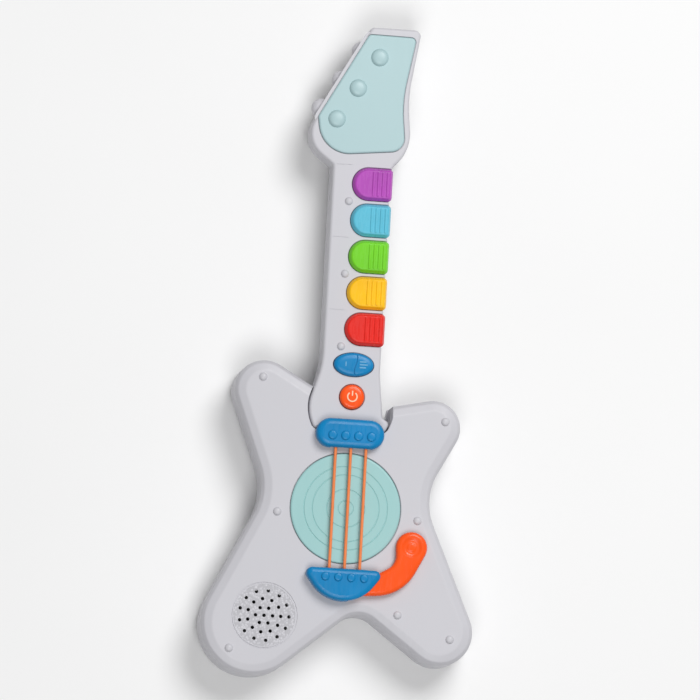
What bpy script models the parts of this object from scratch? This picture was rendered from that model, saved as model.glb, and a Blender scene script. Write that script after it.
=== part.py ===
"""Toy electric guitar: hollow moulded shells, five fret keys, a strummed string set and a whammy bar.

The guitar lies on its flat back. +X runs to the treble side, +Y towards the headstock and +Z out
of the front. Dimensions are millimetres from the centre of the sound disc, and the helpers turn
them into metres with the origin under the middle of the whole toy.
"""
import math

import bmesh
import bpy
from mathutils import Vector

MM = 0.001
GAP = 0.3                     # clearance between pieces that touch
CHORD_ERROR = 0.24            # how far an outline's straight pieces may cut inside its arcs

# Depths, from the flat back at 0
BODY_FACE = 38.0
BODY_PARTING = 19.0
NECK_FACE = 37.0
NECK_BACK = 12.0
NECK_PARTING = 25.0
WALL = 2.2
NECK_WALL = 2.0
DISC_SEAT = 36.0              # floor of the recesses that the disc and the head plate lie in
ROOT_Z = 36.4                 # bosses and pads under the body's face grow out of it from here
STRING_Z = 42.0
ABOVE = 45.0                  # where cutters end above the face
BELOW = -5.0                  # and below the back

# Outlines as belts round circles: x, y, radius. A negative radius is a hollow bend.
LEFT_LEG = (-56.5, -78.5, 34.0)
RIGHT_LEG = (66.5, -77.0, 22.0)
BODY = (
    RIGHT_LEG,
    (95.7, 9.0, -40.0),       # right waist
    (55.5, 57.0, 18.0),       # right horn
    (3.9, 74.5, -10.0),       # saddle under the heel
    (-57.0, 75.0, 19.5),      # left horn
    (-95.7, 10.0, -40.0),     # left waist
    LEFT_LEG,
    (13.0, -85.0, -16.0),     # crotch
)
HEEL = (0.0, 66.4)
HEEL_RADIUS = 27.5
POCKET_RADIUS = 28.3
HEAD_TOP = 318.9
HEAD_CORNER = 4.0
NECK = (
    (21.6, 54.8, 3.0),        # heel, bottom right
    (22.6, 57.0, 3.0),        # shoulder of the heel
    (23.4, 62.4, -2.0),       # notch above the shoulder
    (58.3, 92.0, -40.0),      # slight flare of the right side
    (28.3, 222.0, -10.0),     # right side into the headstock
    (1.8, 249.0, 28.0),       # right cheek
    (118.0, 272.0, -90.0),    # hollow side of the headstock
    (29.3, HEAD_TOP - HEAD_CORNER, HEAD_CORNER),
    (3.0, HEAD_TOP - HEAD_CORNER, HEAD_CORNER),
    (-18.4, 246.8, 17.6),     # left cheek
    (-22.8, 225.0, -2.5),     # left cheek into the neck
    (-78.4, 102.0, -58.0),    # flare towards the heel
    (0.0, 66.4, HEEL_RADIUS),
    (-21.6, 54.8, 3.0),       # heel, bottom left
)
POCKET = ((HEEL[0], HEEL[1], POCKET_RADIUS), (-21.6, 54.5, 3.4), (21.6, 54.5, 3.4))
HEAD_PLATE = (
    (16.9, 246.0, 9.0),
    (112.0, 268.0, -88.0),
    (27.0, 310.5, 3.0),
    (0.9, 310.8, 3.0),
    (-28.0, 256.9, 3.6),
    (-11.0, 254.0, 20.0),
)
BRIDGE = ((0.4, -36.4, 25.0), (20.9, -44.0, 4.0), (-20.1, -44.0, 4.0))
PICKUP_HALF_LENGTH = 22.6
PICKUP_RADIUS = 9.7
PICKUP_Y = 48.8
PICKUP = ((PICKUP_HALF_LENGTH - PICKUP_RADIUS, PICKUP_Y, PICKUP_RADIUS),
          (PICKUP_RADIUS - PICKUP_HALF_LENGTH, PICKUP_Y, PICKUP_RADIUS))
WHAMMY_PIVOT = (8.0, -53.0)
WHAMMY_HEAD = (44.4, -23.4)
WHAMMY = (
    (-1.0, -53.0, 2.8),       # tail that carries the peg
    (8.0, -53.0, 4.5),        # hub
    (21.0, -26.5, 30.0),      # outer edge of the sickle
    (44.4, -23.4, 10.4),      # head
    (24.5, -29.5, -10.0),     # inner edge of the sickle
    (12.5, -39.5, -7.5),      # hollow that clears the strings' feet
)
WHAMMY_PEG = (-1.0, -53.0)
WHAMMY_BOTTOM = 39.0
WHAMMY_TOP = 44.5

# Controls
DISC_RADIUS = 36.2
KEY_RADIUS = 10.7
KEY_PITCH = 24.02
KEY_LEFT = -6.8
KEY_RIGHT = 19.6
FIRST_KEY_Y = 118.6           # the red key, nearest the body
KEY_FLANGE = 0.9
KEY_BOTTOM = 31.5
KEY_TOP = 40.4
RIB_X = (6.9, 10.0, 13.1, 16.2)
RIB_HALF_LENGTH = 8.2
KEY_COLOURS = (
    ("red", (0.80, 0.03, 0.02)),
    ("yellow", (0.93, 0.54, 0.01)),
    ("green", (0.18, 0.62, 0.03)),
    ("light_blue", (0.12, 0.52, 0.68)),
    ("purple", (0.47, 0.08, 0.47)),
)
POWER = (0.4, 73.6)
POWER_RADIUS = 8.1
ROCKER = (0.4, 94.9)
ROCKER_HALF = (13.2, 7.8)
ROCKER_PIVOT_Z = 33.6
STRING_X = 1.0
STRING_PITCH = 10.0
STRING_RADIUS = 1.0
STRING_UPPER_Y = 43.6
STRING_LOWER_Y = -41.6
STRING_FOOT_Z = 33.0
STRUM_SLOT = (-12.2, 14.2, 1.5)   # left end, right end and half width of the slots for the strings' feet
STRING_MOUTH = (-12.4, 14.4)  # opening in each cover that the strings pass through
MOUTH_TOP = 43.4
COVER_BUMP_X = 1.0
COVER_BUMP_PITCH = 8.5

STUD_HEIGHT = 1.2
FLANGE_Z = (32.7, 34.6)       # collars that hold the keys and the power button in

# Speaker, batteries, boards and screws
SPEAKER = (-49.6, -73.4)
GRILLE_RINGS = ((0.0, 1), (5.6, 6), (11.0, 11), (16.4, 13))   # radius, holes
GRILLE_HOLE = 1.05
CELL_RADIUS = 7.1
CELL_PITCH = 15.2
CELL_Z = 9.8
CELL_ENDS = (-28.0, 21.4)
CONTACT_Z = (4.0, 15.6)
BAY = (-24.0, 24.0, -34.0, 24.0)      # inside of the battery bay
BAY_CEILING = 17.2
BAY_WALL = 2.0
DOOR = (-27.0, 27.0, -38.0, 34.0)
DOOR_SCREW = (0.0, 29.5)
SPEAKER_EAR = 23.0            # from the speaker's middle to its two screws
BODY_SCREWS = ((-58.7, 83.1), (62.8, 61.2), (-44.7, -4.7), (47.9, -5.0),
               (38.0, -67.7), (73.2, -81.6), (-71.5, -96.1))
BOSS_RADIUS = 3.6             # the front shell's screw bosses
SEAT_RADIUS = 5.2             # the rear shell's, which hold the screw heads
HEAD_WELL = 3.4
SCREW_HOLE = 1.75
NECK_HOLE = 1.4
BODY_SCREW = (12.0, 3.0, 1.3, 30.0)   # height under the head, head and shank radius, height of the tip
NECK_SCREW = (17.7, 2.3, 1.0, 31.0)
MAT_Z = (26.3, 27.3)
PAD_Z = (27.0, 29.7)          # soft pads that grow out of the mats under the keys and buttons
DOME_RADIUS = 2.7
DOME_HEIGHT = 1.8
NECK_DOME_X = -8.5
NECK_SCREWS = ((-8.5, 106.6), (-8.5, 154.6), (-8.5, 202.7), (-16.0, 254.5), (8.0, 297.0))
TUNERS = ((-4.5, 303.2), (-16.6, 283.1), (-29.1, 263.6))
TUNER_RADIUS = 6.6
PLATE_DOMES = ((6.7, 298.8), (-6.5, 277.6), (-19.4, 256.4))

# The origin lies under the middle of the toy's box
LEFT_EDGE = LEFT_LEG[0] - LEFT_LEG[2]
RIGHT_EDGE = RIGHT_LEG[0] + RIGHT_LEG[2]
TAIL_EDGE = LEFT_LEG[1] - LEFT_LEG[2]
ORIGIN = Vector(((LEFT_EDGE + RIGHT_EDGE) / 2, (TAIL_EDGE + HEAD_TOP) / 2, 0.0))

# Principled materials: linear colour, roughness, metallic
WHITE = ("shell_white", (0.62, 0.63, 0.66), 0.38, 0.0)
MINT = ("mint", (0.42, 0.60, 0.60), 0.40, 0.0)
BLUE = ("blue", (0.02, 0.23, 0.52), 0.30, 0.0)
ORANGE = ("orange", (1.0, 0.10, 0.01), 0.28, 0.0)
STEEL = ("steel", (0.55, 0.55, 0.56), 0.30, 1.0)
BOARD = ("board_green", (0.03, 0.20, 0.08), 0.45, 0.0)
SILICONE = ("silicone", (0.50, 0.50, 0.48), 0.60, 0.0)
BLACK = ("black", (0.02, 0.02, 0.02), 0.50, 0.0)
PAPER = ("speaker_paper", (0.05, 0.05, 0.05), 0.85, 0.0)
BATTERY = ("battery_wrap", (0.35, 0.36, 0.38), 0.35, 0.0)
CABLE = ("cable", (0.10, 0.10, 0.11), 0.50, 0.0)


def clear_scene():
    for old in list(bpy.data.objects):
        bpy.data.objects.remove(old)


def material(spec):
    name, colour, roughness, metallic = spec
    made = bpy.data.materials.get(name)
    if made is None:
        made = bpy.data.materials.new(name)
        made.use_nodes = True
        shader = made.node_tree.nodes["Principled BSDF"]
        shader.inputs["Base Color"].default_value = (*colour, 1.0)
        shader.inputs["Roughness"].default_value = roughness
        shader.inputs["Metallic"].default_value = metallic
        made.diffuse_color = (*colour, 1.0)
    return made


# ---------------------------------------------------------------- outlines

def arc_step(radius):
    """Turn between two points of an arc that keeps the chord error."""
    return 2 * math.acos(1 - CHORD_ERROR / abs(radius))


def belt(circles, inset=0.0):
    """Closed outline of a belt laid round circles, moved inwards by inset."""
    count = len(circles)
    normals = []
    for index, (x, y, radius) in enumerate(circles):
        x2, y2, radius2 = circles[(index + 1) % count]
        length = math.hypot(x2 - x, y2 - y)
        heading = math.atan2(y2 - y, x2 - x)
        ratio = max(-1.0, min(1.0, (radius - radius2) / length))
        normals.append(heading - math.acos(ratio))
    points = []
    for index, (x, y, radius) in enumerate(circles):
        start = normals[index - 1]
        turn = (normals[index] - start) % math.tau
        if radius < 0:
            turn -= math.tau
        pieces = max(1, round(abs(turn) / arc_step(radius)))
        for piece in range(pieces + 1):
            angle = start + turn * piece / pieces
            reach = radius - inset
            points.append((x + reach * math.cos(angle), y + reach * math.sin(angle)))
    return points


def circle(x, y, radius, sides):
    return [(x + radius * math.cos(math.tau * i / sides), y + radius * math.sin(math.tau * i / sides))
            for i in range(sides)]


def ellipse(x, y, half_x, half_y, sides):
    return [(x + half_x * math.cos(math.tau * i / sides), y + half_y * math.sin(math.tau * i / sides))
            for i in range(sides)]


def rectangle(x0, x1, y0, y1):
    return [(x0, y0), (x1, y0), (x1, y1), (x0, y1)]


# ---------------------------------------------------------------- solids

def finish(name, bm, spec):
    bmesh.ops.recalc_face_normals(bm, faces=bm.faces)
    mesh = bpy.data.meshes.new(name)
    bm.to_mesh(mesh)
    bm.free()
    mesh.shade_smooth()
    mesh.set_sharp_from_angle(angle=math.radians(35))
    made = bpy.data.objects.new(name, mesh)
    bpy.context.scene.collection.objects.link(made)
    if spec is not None:
        mesh.materials.append(material(spec))
    return made


def in_metres(point):
    return (Vector(point) - ORIGIN) * MM


def loft(name, rings, spec=None):
    """Closed solid through rings of equal length, with a flat cap on the first and the last."""
    bm = bmesh.new()
    levels = [[bm.verts.new(in_metres(point)) for point in ring] for ring in rings]
    for low, high in zip(levels, levels[1:]):
        for i in range(len(low)):
            j = (i + 1) % len(low)
            bm.faces.new((low[i], low[j], high[j], high[i]))
    bm.faces.new(list(reversed(levels[0])))
    bm.faces.new(levels[-1])
    return finish(name, bm, spec)


def levels_of(circles, steps):
    """Rings of one belt at (inset, height) steps."""
    return [[(x, y, z) for x, y in belt(circles, inset)] for inset, z in steps]


def prism(outline, z0, z1, name="tool", spec=None):
    return loft(name, [[(x, y, z) for x, y in outline] for z in (z0, z1)], spec)


def block(x0, x1, y0, y1, z0, z1, name="tool", spec=None):
    return prism(rectangle(x0, x1, y0, y1), z0, z1, name, spec)


def rod(x, y, radius, z0, z1, sides=10, name="tool", spec=None):
    return prism(circle(x, y, radius, sides), z0, z1, name, spec)


def turned(x, y, profile, sides=20, name="tool", spec=None):
    """Solid of revolution about a Z axis through x, y; a profile off the axis closes on itself."""
    bm = bmesh.new()
    on_axis = profile[0][0] == 0.0
    rings = []
    for radius, z in profile:
        if radius == 0.0:
            rings.append([bm.verts.new(in_metres((x, y, z)))])
        else:
            rings.append([bm.verts.new(in_metres((px, py, z))) for px, py in circle(x, y, radius, sides)])
    pairs = list(zip(rings, rings[1:]))
    if not on_axis:
        pairs.append((rings[-1], rings[0]))
    for first, second in pairs:
        for i in range(sides):
            j = (i + 1) % sides
            corners = [first[i % len(first)], first[j % len(first)],
                       second[j % len(second)], second[i % len(second)]]
            bm.faces.new(list(dict.fromkeys(corners)))
    return finish(name, bm, spec)


def wire(points, radius, name, spec, sides=6):
    """Round wire through points, with flat ends."""
    path = [Vector(point) for point in points]
    rings = []
    side = None
    for index, point in enumerate(path):
        before = path[max(index - 1, 0)]
        after = path[min(index + 1, len(path) - 1)]
        along = (after - before).normalized()
        if side is None:
            side = along.orthogonal().normalized()
        side = (side - along * side.dot(along)).normalized()
        other = along.cross(side)
        rings.append([point + radius * (side * math.cos(math.tau * i / sides)
                                        + other * math.sin(math.tau * i / sides)) for i in range(sides)])
    return loft(name, rings, spec)


def joined(tools):
    """One mesh object holding all the tools as loose bodies."""
    bm = bmesh.new()
    for tool in tools:
        bm.from_mesh(tool.data)
        bpy.data.objects.remove(tool)
    return finish("tools", bm, None)


def shape(target, operation, *tools):
    """Boolean of the target with the tools, which are used up."""
    tool = joined(tools)
    modifier = target.modifiers.new("shape", "BOOLEAN")
    modifier.object = tool
    modifier.operation = operation
    modifier.solver = "EXACT"
    shaped = bpy.data.meshes.new_from_object(target.evaluated_get(bpy.context.evaluated_depsgraph_get()))
    shaped.name = target.name
    target.modifiers.clear()
    target.data = shaped
    shaped.shade_smooth()
    shaped.set_sharp_from_angle(angle=math.radians(35))
    bpy.data.objects.remove(tool)


def add(target, *tools):
    shape(target, "UNION", *tools)


def cut(target, *tools):
    shape(target, "DIFFERENCE", *tools)


def keep_inside(tool, solid):
    """The part of a tool that lies inside a solid, which is used up."""
    shape(tool, "INTERSECT", solid)
    return tool


def move_origin(made, point):
    """Put the object's origin on a joint axis without moving the solid."""
    offset = in_metres(point)
    for vertex in made.data.vertices:
        vertex.co -= offset
    made.location = offset


def bump(x, y, radius, base, height, sides=10):
    """Small domed boss that grows out of a face."""
    return turned(x, y, ((0.0, base - 0.8), (radius, base - 0.8), (radius, base + 0.3 * height),
                         (0.7 * radius, base + 0.9 * height), (0.0, base + height)), sides)


# ---------------------------------------------------------------- body

FRONT_OUTER = ((0.0, BODY_PARTING + GAP), (0.0, 33.2), (2.0, 36.2), (7.0, BODY_FACE))
FRONT_INNER = ((WALL + 6.0, BODY_FACE - WALL), (WALL, 32.0), (WALL, BODY_PARTING + GAP))
REAR_OUTER = ((0.0, BODY_PARTING), (0.0, 8.0), (2.6, 3.0), (8.0, 0.0))
REAR_INNER = ((9.5, WALL), (WALL, 8.2), (WALL, 15.0), (4.2, 21.0), (2.5, 21.0), (2.5, BODY_PARTING))
FRONT_CORE = ((0.6, 19.6), (0.6, 33.0), (2.6, 35.8), (7.4, 37.4))   # just under the front shell's skin
REAR_CORE = ((0.6, 18.7), (0.6, 8.2), (3.2, 3.4), (8.2, 0.6))
LIP_CUT = 18.9                # height where the rim's lip is taken away round the heel
POCKET_FLOOR = 11.4
NOTCH = (18.9, 26.9, 60.9, 80.0)
CABLE_HOLE_Z = 25.15


def cable_hole(y0, y1, radius=2.6):
    """Round cutter along Y for the neck cable."""
    rings = [[(x, y, z) for x, z in circle(0.0, CABLE_HOLE_Z, radius, 12)] for y in (y0, y1)]
    return loft("tool", rings)


def body_front_shell():
    shell = loft("body_front_shell", levels_of(BODY, FRONT_INNER + FRONT_OUTER), WHITE)
    core = loft("tool", levels_of(BODY, FRONT_CORE))
    add(shell, keep_inside(prism(belt(POCKET, -WALL), 15.0, 37.0), core))
    disc_pad = rod(0.0, 0.0, DISC_RADIUS + 2.4, 33.6, ROOT_Z, 48)
    bosses = [rod(x, y, BOSS_RADIUS, BODY_PARTING + 0.6, ROOT_Z) for x, y in BODY_SCREWS]
    clamps = [rod(SPEAKER[0] + side * SPEAKER_EAR, SPEAKER[1], 2.4, 33.4, ROOT_Z, 10) for side in (-1, 1)]
    posts = [block(x - 1.0, x + 1.0, -24.0, -16.0, 28.0, 34.2) for x in (-15.5, 17.5)]
    pivot = rod(*WHAMMY_PIVOT, 4.2, 26.0, ROOT_Z)
    add(shell, disc_pad)
    add(shell, pivot, *bosses, *clamps, *posts)
    add(shell, *[bump(x, y, DOME_RADIUS, BODY_FACE, DOME_HEIGHT) for x, y in BODY_SCREWS])
    cut(shell, prism(belt(POCKET), 10.0, ABOVE))
    grille = [rod(SPEAKER[0] + radius * math.cos(math.tau * i / count),
                  SPEAKER[1] + radius * math.sin(math.tau * i / count), GRILLE_HOLE, 30.0, ABOVE, 6)
              for radius, count in GRILLE_RINGS for i in range(count)]
    left, right, half = STRUM_SLOT
    slots = [block(left, right, y - half, y + half, 30.0, ABOVE) for y in (STRING_UPPER_Y, STRING_LOWER_Y)]
    slots.append(block(WHAMMY_PEG[0] - 2.2, WHAMMY_PEG[0] + 2.2, WHAMMY_PEG[1] - 3.6, WHAMMY_PEG[1] + 3.6,
                       30.0, ABOVE))
    holes = [rod(x, y, SCREW_HOLE, 10.0, 32.0, 8) for x, y in BODY_SCREWS]
    holes += [rod(SPEAKER[0] + side * SPEAKER_EAR, SPEAKER[1], 1.2, 30.0, 35.5, 8) for side in (-1, 1)]
    cut(shell, rod(0.0, 0.0, DISC_RADIUS + 0.5, DISC_SEAT, ABOVE, 48))
    cut(shell, rod(*WHAMMY_PIVOT, 1.9, 20.0, ABOVE, 10), cable_hole(40.0, 60.0), *slots, *holes)
    cut(shell, *grille)


def body_rear_shell():
    shell = loft("body_rear_shell", levels_of(BODY, REAR_INNER + REAR_OUTER), WHITE)
    core = loft("tool", levels_of(BODY, REAR_CORE))
    add(shell, keep_inside(prism(belt(POCKET, -WALL), 9.0, 30.0), core))
    core = loft("tool", levels_of(BODY, REAR_CORE))
    add(shell, keep_inside(block(NOTCH[0] - 2.0, NOTCH[1] + 2.0, NOTCH[2] - 2.0, 75.0, -1.0, 30.0), core))
    left, right, low, high = DOOR
    box = block(BAY[0] - BAY_WALL, BAY[1] + BAY_WALL, BAY[2] - BAY_WALL, BAY[3] + BAY_WALL,
                1.0, BAY_CEILING + BAY_WALL)
    frame = block(left - 2.5, right + 2.5, low - 2.5, high + 2.5, 1.0, 5.6)
    bosses = [rod(x, y, SEAT_RADIUS, 1.0, BODY_PARTING) for x, y in BODY_SCREWS]
    posts = [rod(x, y, 2.0, 18.0, 22.7, 8) for x in (-21.0, 21.0) for y in (-30.0, 20.0)]
    add(shell, box)
    add(shell, frame, *bosses)
    add(shell, rod(*DOOR_SCREW, 3.6, 4.0, 11.5), *posts)
    cut(shell, prism(belt(POCKET), POCKET_FLOOR, ABOVE))
    cut(shell, block(*NOTCH, BELOW, ABOVE))
    cut(shell, rod(*HEEL, POCKET_RADIUS + 4.6, LIP_CUT, 30.0, 40))
    cut(shell, block(left - GAP, right + GAP, low - GAP, high + GAP, BELOW, 2.5))
    cut(shell, block(*BAY, BELOW, BAY_CEILING), rod(*DOOR_SCREW, 1.8, BELOW, 9.5, 8))
    cut(shell, *[rod(x, y, HEAD_WELL, BELOW, 12.3) for x, y in BODY_SCREWS])
    cut(shell, *[rod(x, y, SCREW_HOLE, 5.0, 30.0, 8) for x, y in BODY_SCREWS])


def sound_disc():
    turned(0.0, 0.0, ((0.0, DISC_SEAT + GAP), (DISC_RADIUS, DISC_SEAT + GAP), (DISC_RADIUS, 38.0),
                      (DISC_RADIUS - 0.6, 38.6), (23.6, 38.6), (22.8, 38.0), (21.2, 38.0), (20.4, 38.6),
                      (0.0, 38.6)),
           40, "sound_disc", MINT)


def pickup_cover():
    steps = ((4.2, 44.2), (WALL, 42.4), (WALL, BODY_FACE + GAP), (0.0, BODY_FACE + GAP), (0.0, 43.0),
             (1.2, 45.2), (4.0, 46.2))
    cover = loft("pickup_cover", levels_of(PICKUP, steps), BLUE)
    add(cover, *[bump(COVER_BUMP_X + (i - 1.5) * COVER_BUMP_PITCH, 47.2, 3.1, 46.2, STUD_HEIGHT)
                 for i in range(4)])
    cut(cover, block(*STRING_MOUTH, 37.0, 43.0, 36.0, MOUTH_TOP))


def bridge_cover():
    steps = ((WALL, 44.9), (WALL, BODY_FACE + GAP), (0.0, BODY_FACE + GAP), (0.0, 44.8), (1.2, 46.4),
             (3.4, 47.2))
    cover = loft("bridge_cover", levels_of(BRIDGE, steps), BLUE)
    add(cover, *[bump(COVER_BUMP_X + (i - 1.5) * COVER_BUMP_PITCH, -46.0, 2.8, 47.2, STUD_HEIGHT)
                 for i in range(4)])
    cut(cover, block(*STRING_MOUTH, -45.0, -35.0, 36.0, MOUTH_TOP))
    cut(cover, block(16.6, 40.0, -66.0, -35.0, 36.0, 44.9))
    cut(cover, block(4.0, 30.0, -66.0, -50.0, 36.0, 44.9))


# ---------------------------------------------------------------- neck

NECK_FRONT = ((NECK_WALL, NECK_FACE - NECK_WALL), (NECK_WALL, NECK_PARTING + GAP), (0.0, NECK_PARTING + GAP),
              (0.0, 35.2), (0.6, 36.5), (1.6, NECK_FACE))
NECK_REAR = ((NECK_WALL, NECK_BACK + NECK_WALL), (NECK_WALL, NECK_PARTING), (0.0, NECK_PARTING),
             (0.0, 15.5), (0.9, 13.0), (2.8, NECK_BACK))


def key_y(index):
    return FIRST_KEY_Y + index * KEY_PITCH


def key_outline(y, grow=0.0, right=KEY_RIGHT):
    """D shape: a round left end and a square right end with small corners."""
    corner = 2.2
    half = KEY_RADIUS
    circles = ((right - corner, y - half + corner, corner), (right - corner, y + half - corner, corner),
               (KEY_LEFT + KEY_RADIUS, y, KEY_RADIUS))
    return belt(circles, -grow)


def neck_front_shell():
    shell = loft("neck_front_shell", levels_of(NECK, NECK_FRONT), WHITE)
    bosses = [rod(x, y, 2.9, NECK_PARTING + 0.6, 35.6, 10) for x, y in NECK_SCREWS]
    lobes = [rod(x, y, TUNER_RADIUS, NECK_PARTING + GAP, 33.0, 20) for x, y in TUNERS]
    add(shell, prism(belt(HEAD_PLATE, -2.2), 33.8, 36.2))
    add(shell, *bosses)
    add(shell, *lobes)
    domes = [bump(NECK_DOME_X, FIRST_KEY_Y + (2 * i - 0.5) * KEY_PITCH, DOME_RADIUS, NECK_FACE, DOME_HEIGHT)
             for i in range(3)]
    add(shell, *domes)
    cut(shell, prism(belt(HEAD_PLATE, -0.35), DISC_SEAT, ABOVE))
    cut(shell, *[prism(key_outline(key_y(i), 0.35, KEY_RIGHT + 8.0), 29.2, ABOVE) for i in range(5)])
    cut(shell, rod(*POWER, POWER_RADIUS + 0.35, 30.0, ABOVE, 20),
        prism(ellipse(*ROCKER, ROCKER_HALF[0] + 0.5, ROCKER_HALF[1] + 0.35, 28), 30.0, ABOVE))
    cut(shell, cable_hole(45.0, 60.0), *[rod(x, y, NECK_HOLE, 20.0, 33.0, 8) for x, y in NECK_SCREWS])


def neck_rear_shell():
    shell = loft("neck_rear_shell", levels_of(NECK, NECK_REAR), WHITE)
    add(shell, *[rod(x, y, 4.0, 13.0, NECK_PARTING) for x, y in NECK_SCREWS])
    cut(shell, *[rod(x, y, 2.6, 5.0, 18.0) for x, y in NECK_SCREWS])
    cut(shell, cable_hole(45.0, 60.0), *[rod(x, y, NECK_HOLE, 10.0, 30.0, 8) for x, y in NECK_SCREWS])


def headstock_plate():
    plate = loft("headstock_plate", levels_of(HEAD_PLATE, ((0.0, DISC_SEAT + GAP), (0.0, 37.5),
                                                           (0.6, 38.0))), MINT)
    dome = ((0.0, 37.4), (6.2, 37.4), (6.2, 38.4), (5.0, 39.8), (3.6, 39.8), (3.2, 39.4), (0.0, 40.0))
    add(plate, *[turned(x, y, dome, 14) for x, y in PLATE_DOMES])


# ---------------------------------------------------------------- controls

def fret_key(index, colour_name, colour):
    y = key_y(index)
    spec = ("key_" + colour_name, colour, 0.32, 0.0)
    name = "fret_key_" + colour_name
    outer = key_outline(y)
    top = key_outline(y, -0.7)
    rings = [[(x, py, z) for x, py in outline] for outline, z in
             ((outer, KEY_BOTTOM), (outer, KEY_TOP - 1.0), (top, KEY_TOP))]
    key = loft(name, rings, spec)
    ribs = [block(x - 0.6, x + 0.6, y - RIB_HALF_LENGTH, y + RIB_HALF_LENGTH, KEY_TOP - 0.5, KEY_TOP + 0.5)
            for x in RIB_X]
    flange = prism(key_outline(y, KEY_FLANGE, 14.5), *FLANGE_Z)
    add(key, flange)
    add(key, *ribs)
    move_origin(key, ((KEY_LEFT + KEY_RIGHT) / 2, y, KEY_BOTTOM))


def power_button():
    button = turned(*POWER, ((0.0, 31.5), (POWER_RADIUS, 31.5), (POWER_RADIUS, 38.8),
                             (POWER_RADIUS - 0.9, 39.6), (0.0, 39.9)), 20, "power_button", ORANGE)
    add(button, rod(*POWER, POWER_RADIUS + 1.0, *FLANGE_Z, 20))
    move_origin(button, (*POWER, 31.5))


def mode_rocker():
    half_x, half_y = ROCKER_HALF
    steps = ((1.0, 31.2), (0.0, 33.0), (0.0, 38.6), (1.2, 40.0))
    rings = [[(x, y, z) for x, y in ellipse(*ROCKER, half_x - inset, half_y - inset, 28)]
             for inset, z in steps]
    rocker = loft("mode_rocker", rings, BLUE)
    pin = [[(x, y, z) for x, z in circle(ROCKER[0], ROCKER_PIVOT_Z, 1.1, 10)]
           for y in (ROCKER[1] - half_y - 1.8, ROCKER[1] + half_y + 1.8)]
    add(rocker, loft("tool", pin))
    cut(rocker, block(ROCKER[0] + 0.6, ROCKER[0] + 1.8, 80.0, 110.0, 39.2, ABOVE))
    move_origin(rocker, (*ROCKER, ROCKER_PIVOT_Z))


def string_points(x):
    """Foot, rounded corner, span, rounded corner and foot of one string."""
    bend = 2.0
    corners = ((STRING_UPPER_Y, 1), (STRING_LOWER_Y, -1))
    upper, lower = [[(x, y - side * (bend - bend * math.cos(math.radians(angle))),
                      STRING_Z - bend + bend * math.sin(math.radians(angle)))
                     for angle in (0, 30, 60, 90)] for y, side in corners]
    return [(x, STRING_UPPER_Y, STRING_FOOT_Z)] + upper + lower[::-1] + [(x, STRING_LOWER_Y, STRING_FOOT_Z)]


def strings_and_carriage():
    for index in range(3):
        x = STRING_X + (index - 1) * STRING_PITCH
        wire(string_points(x), STRING_RADIUS, "string_%d" % (index + 1), ORANGE, 8)
    carriage = block(-2.0, 4.0, -44.4, 46.0, 30.0, 32.7, "strum_carriage", BLACK)
    add(carriage, block(-11.0, 13.0, 41.0, 46.4, 30.0, 32.7))
    add(carriage, block(-11.0, 13.0, -44.8, -39.0, 30.0, 32.7))


def whammy_bar():
    steps = ((0.8, WHAMMY_BOTTOM), (0.0, WHAMMY_BOTTOM + 1.0), (0.0, WHAMMY_TOP - 1.6),
             (1.4, WHAMMY_TOP))
    bar = loft("whammy_bar", levels_of(WHAMMY, steps), ORANGE)
    add(bar, rod(*WHAMMY_PEG, 1.5, 31.0, 40.0, 10))
    dimple = turned(*WHAMMY_HEAD, ((0.0, 43.4), (3.0, 43.6), (6.4, ABOVE), (0.0, ABOVE)), 20)
    cut(bar, rod(*WHAMMY_PIVOT, 3.5, 42.4, 50.0, 16), dimple)
    cut(bar, rod(*WHAMMY_PIVOT, 1.9, 30.0, 50.0, 10))
    move_origin(bar, (*WHAMMY_PIVOT, WHAMMY_BOTTOM))


# ---------------------------------------------------------------- works inside

def coil(centre, radius, wire_radius, length, turns, along, name):
    """Helical spring along X, Y or Z from centre."""
    points_per_turn = 6
    total = turns * points_per_turn
    points = []
    for i in range(total + 1):
        angle = math.tau * i / points_per_turn
        u, v, w = radius * math.cos(angle), radius * math.sin(angle), length * i / total
        offset = {"x": (w, u, v), "y": (u, w, v), "z": (u, v, w)}[along]
        points.append(Vector(centre) + Vector(offset))
    wire(points, wire_radius, name, STEEL, 4)


def speaker():
    x, y = SPEAKER
    turned(x, y, ((20.0, 35.4), (20.0, 33.8), (18.2, 33.2), (12.0, 24.0), (6.0, 24.0), (6.0, 25.2),
                  (11.0, 25.2), (17.3, 33.6), (17.3, 35.4)), 24, "speaker_frame", STEEL)
    turned(x, y, ((0.0, 17.0), (10.5, 17.0), (10.5, 23.6), (0.0, 23.6)), 20, "speaker_magnet", BLACK)
    turned(x, y, ((0.0, 29.2), (5.0, 27.6), (15.6, 34.2), (16.9, 34.3), (16.9, 34.9),
                  (15.4, 34.9), (5.0, 28.5), (0.0, 30.3)), 24, "speaker_cone", PAPER)
    for index, side in enumerate((-1, 1)):
        turned(x + side * SPEAKER_EAR, y, ((0.0, 31.4), (3.2, 31.8), (3.2, 33.1), (0.9, 33.1), (0.9, 35.0),
                                    (0.0, 35.0)), 8, "speaker_screw_%d" % (index + 1), STEEL)


def case_screw(name, x, y, head_z, head_radius, shank_radius, tip_z):
    """Pan-head screw that goes in from the back."""
    head = 2.0
    turned(x, y, ((0.0, head_z - head), (head_radius, head_z - head + 0.8), (head_radius, head_z),
                  (shank_radius, head_z), (shank_radius, tip_z - 1.0), (0.0, tip_z)), 8, name, STEEL)


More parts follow.
